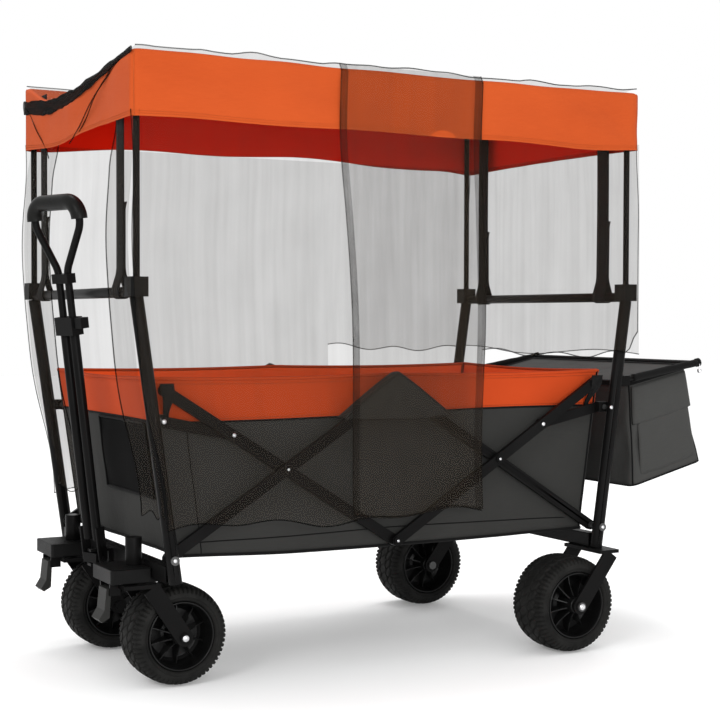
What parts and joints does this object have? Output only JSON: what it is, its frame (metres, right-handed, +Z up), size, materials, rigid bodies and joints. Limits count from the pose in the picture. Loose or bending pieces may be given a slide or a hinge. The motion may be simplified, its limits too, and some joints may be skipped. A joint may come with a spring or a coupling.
{
  "type": "kids pull wagon",
  "caption": "Folding pull wagon with a cloth tub, a fixed canopy on poles, a net, a rear storage bag, wide wheels and a telescoping loop handle.",
  "frame": {"origin": "centre of the floor area under the wagon, in the handle's rest position", "axes": "+X to the rear, +Y to the wagon's right, +Z up"},
  "size_m": [1.3534, 0.702, 1.128],
  "materials": {
    "frame_black": "satin black powder coat",
    "steel": "zinc plated",
    "black_plastic": "textured moulded",
    "pedal_plastic": "textured moulded",
    "hub_plastic": "semi-gloss moulded",
    "tyre": "moulded rubber-like tread",
    "grip": "semi-gloss moulded",
    "tub_fabric": "woven polyester",
    "canopy_fabric": "woven polyester",
    "bag_fabric": "woven polyester",
    "net": "fine mesh",
    "webbing": "woven webbing"
  },
  "bodies": {
    "front_frame": {"front_posts": "frame_black", "front_top_bar": "frame_black", "front_corner_sockets": "black_plastic", "front_canopy_poles": "frame_black", "front_canopy_straps": "webbing", "front_frame_rivets": "steel", "front_lower_frame": "frame_black", "front_link_brackets": "frame_black", "caster_housings": "black_plastic", "tub_side_left": "tub_fabric", "tub_side_right": "tub_fabric", "tub_front_wall": "tub_fabric", "tub_floor": "tub_fabric", "canopy_cover": "canopy_fabric", "net_left": "net", "net_right": "net", "net_front": "net"},
    "front_risers": {"front_riser_left": "frame_black", "front_riser_right": "frame_black"},
    "front_braces": {"front_brace_left": "frame_black", "front_brace_right": "frame_black"},
    "rear_risers": {"rear_riser_left": "frame_black", "rear_riser_right": "frame_black"},
    "rear_braces": {"rear_brace_left": "frame_black", "rear_brace_right": "frame_black"},
    "front_swing_links": {"front_links": "frame_black"},
    "rear_swing_links": {"rear_links": "frame_black"},
    "rear_frame": {"rear_posts": "frame_black", "rear_top_bar": "frame_black", "rear_corner_sockets": "black_plastic", "rear_canopy_poles": "frame_black", "rear_canopy_straps": "webbing", "rear_frame_rivets": "steel", "rear_wheel_forks": "frame_black", "rear_axle_bolts": "steel", "rear_lower_beam": "frame_black", "rear_brackets": "frame_black", "tub_rear_wall": "tub_fabric", "net_rear": "net", "storage_bag": "bag_fabric"},
    "bag_support": {"bag_frame": "frame_black"},
    "bag_cover": {"bag_lid": "bag_fabric"},
    "handle_swivel_block": {"handle_yoke": "frame_black"},
    "handle_lower": {"handle_outer_tubes": "frame_black", "handle_collar": "black_plastic"},
    "handle_lock": {"handle_lock_knob": "black_plastic"},
    "handle_upper": {"handle_loop": "frame_black", "handle_grip": "grip"},
    "caster_left": {"caster_fork_left": "frame_black"},
    "front_wheel_left": {"front_tyre_left": "tyre", "front_hub_left": "hub_plastic"},
    "rear_wheel_left": {"rear_tyre_left": "tyre", "rear_hub_left": "hub_plastic"},
    "pedal_left": {"brake_pedal_left": "pedal_plastic"},
    "caster_right": {"caster_fork_right": "frame_black"},
    "front_wheel_right": {"front_tyre_right": "tyre", "front_hub_right": "hub_plastic"},
    "rear_wheel_right": {"rear_tyre_right": "tyre", "rear_hub_right": "hub_plastic"},
    "pedal_right": {"brake_pedal_right": "pedal_plastic"}
  },
  "joints": [
    {"name": "fold", "type": "hinge", "parent": "front_frame", "child": "front_risers", "pos_m": [-0.5187, 0, 0.246], "axis": [0, -1, 0], "range_deg": [0, 40.71], "deforming": ["tub_side_left", "tub_side_right", "tub_floor", "canopy_cover", "net_left", "net_right"]},
    {"name": "front_cross_pivot", "type": "hinge", "parent": "front_risers", "child": "front_braces", "pos_m": [-0.2877, 0, 0.392], "axis": [0, -1, 0], "range_deg": [-81.41, 0]},
    {"name": "middle_top_pivot", "type": "hinge", "parent": "front_risers", "child": "rear_risers", "pos_m": [-0.0567, 0, 0.538], "axis": [0, -1, 0], "range_deg": [-81.41, 0]},
    {"name": "rear_cross_pivot", "type": "hinge", "parent": "rear_risers", "child": "rear_braces", "pos_m": [0.1743, 0, 0.392], "axis": [0, -1, 0], "range_deg": [0, 81.41]},
    {"name": "rear_frame_pivot", "type": "hinge", "parent": "rear_risers", "child": "rear_frame", "pos_m": [0.4053, 0, 0.246], "axis": [0, -1, 0], "range_deg": [0, 40.71]},
    {"name": "front_link_pivot", "type": "hinge", "parent": "front_frame", "child": "front_swing_links", "pos_m": [-0.5387, 0, 0.4884], "axis": [0, -1, 0], "range_deg": [0, 76.65]},
    {"name": "rear_link_pivot", "type": "hinge", "parent": "rear_frame", "child": "rear_swing_links", "pos_m": [0.4253, 0, 0.4884], "axis": [0, -1, 0], "range_deg": [-76.65, 0]},
    {"name": "caster_swivel_left", "type": "hinge", "parent": "front_frame", "child": "caster_left", "pos_m": [-0.5437, -0.175, 0.22], "axis": [0, 0, 1], "continuous": true},
    {"name": "front_wheel_spin_left", "type": "hinge", "parent": "caster_left", "child": "front_wheel_left", "pos_m": [-0.4687, -0.175, 0.092], "axis": [0, 1, 0], "continuous": true},
    {"name": "rear_wheel_spin_left", "type": "hinge", "parent": "rear_frame", "child": "rear_wheel_left", "pos_m": [0.3293, -0.285, 0.096], "axis": [0, 1, 0], "continuous": true},
    {"name": "brake_pedal_left", "type": "hinge", "parent": "caster_left", "child": "pedal_left", "pos_m": [-0.5897, -0.175, 0.181], "axis": [0, -1, 0], "range_deg": [0, 14]},
    {"name": "caster_swivel_right", "type": "hinge", "parent": "front_frame", "child": "caster_right", "pos_m": [-0.5437, 0.175, 0.22], "axis": [0, 0, 1], "continuous": true},
    {"name": "front_wheel_spin_right", "type": "hinge", "parent": "caster_right", "child": "front_wheel_right", "pos_m": [-0.4687, 0.175, 0.092], "axis": [0, 1, 0], "continuous": true},
    {"name": "rear_wheel_spin_right", "type": "hinge", "parent": "rear_frame", "child": "rear_wheel_right", "pos_m": [0.3293, 0.285, 0.096], "axis": [0, 1, 0], "continuous": true},
    {"name": "brake_pedal_right", "type": "hinge", "parent": "caster_right", "child": "pedal_right", "pos_m": [-0.5897, 0.175, 0.181], "axis": [0, -1, 0], "range_deg": [0, 14]},
    {"name": "handle_swivel", "type": "hinge", "parent": "front_frame", "child": "handle_swivel_block", "pos_m": [-0.5567, 0, 0.212], "axis": [0, 0, 1], "range_deg": [-50, 15], "deforming": ["net_front"]},
    {"name": "handle_tilt", "type": "hinge", "parent": "handle_swivel_block", "child": "handle_lower", "pos_m": [-0.5567, 0, 0.212], "axis": [0.342, -0.9397, 0], "range_deg": [0, 80]},
    {"name": "handle_extend", "type": "slide", "parent": "handle_lower", "child": "handle_upper", "axis": [-0.1275, -0.0464, 0.9907], "range_m": [-0.035, 0.19]},
    {"name": "handle_lock_press", "type": "slide", "parent": "handle_lower", "child": "handle_lock", "axis": [-0.342, 0.9397, 0], "range_m": [0, 0.004], "stiffness_N_per_m": 800, "springref_m": -0.002},
    {"name": "bag_fold", "type": "hinge", "parent": "rear_frame", "child": "bag_support", "pos_m": [0.4713, 0, 0.542], "axis": [0, 1, 0], "range_deg": [0, 75], "deforming": ["storage_bag"]},
    {"name": "bag_lid_hinge", "type": "hinge", "parent": "bag_support", "child": "bag_cover", "pos_m": [0.4983, 0, 0.5325], "axis": [0, -1, 0], "range_deg": [0, 70]}
  ],
  "couplings": [
    {"joint": "front_cross_pivot", "follows": "fold", "ratio": -2},
    {"joint": "middle_top_pivot", "follows": "fold", "ratio": -2},
    {"joint": "rear_cross_pivot", "follows": "fold", "ratio": 2},
    {"joint": "rear_frame_pivot", "follows": "fold", "ratio": 1},
    {"joint": "front_link_pivot", "follows": "fold", "ratio": 1.883},
    {"joint": "rear_link_pivot", "follows": "fold", "ratio": -1.883}
  ]
}
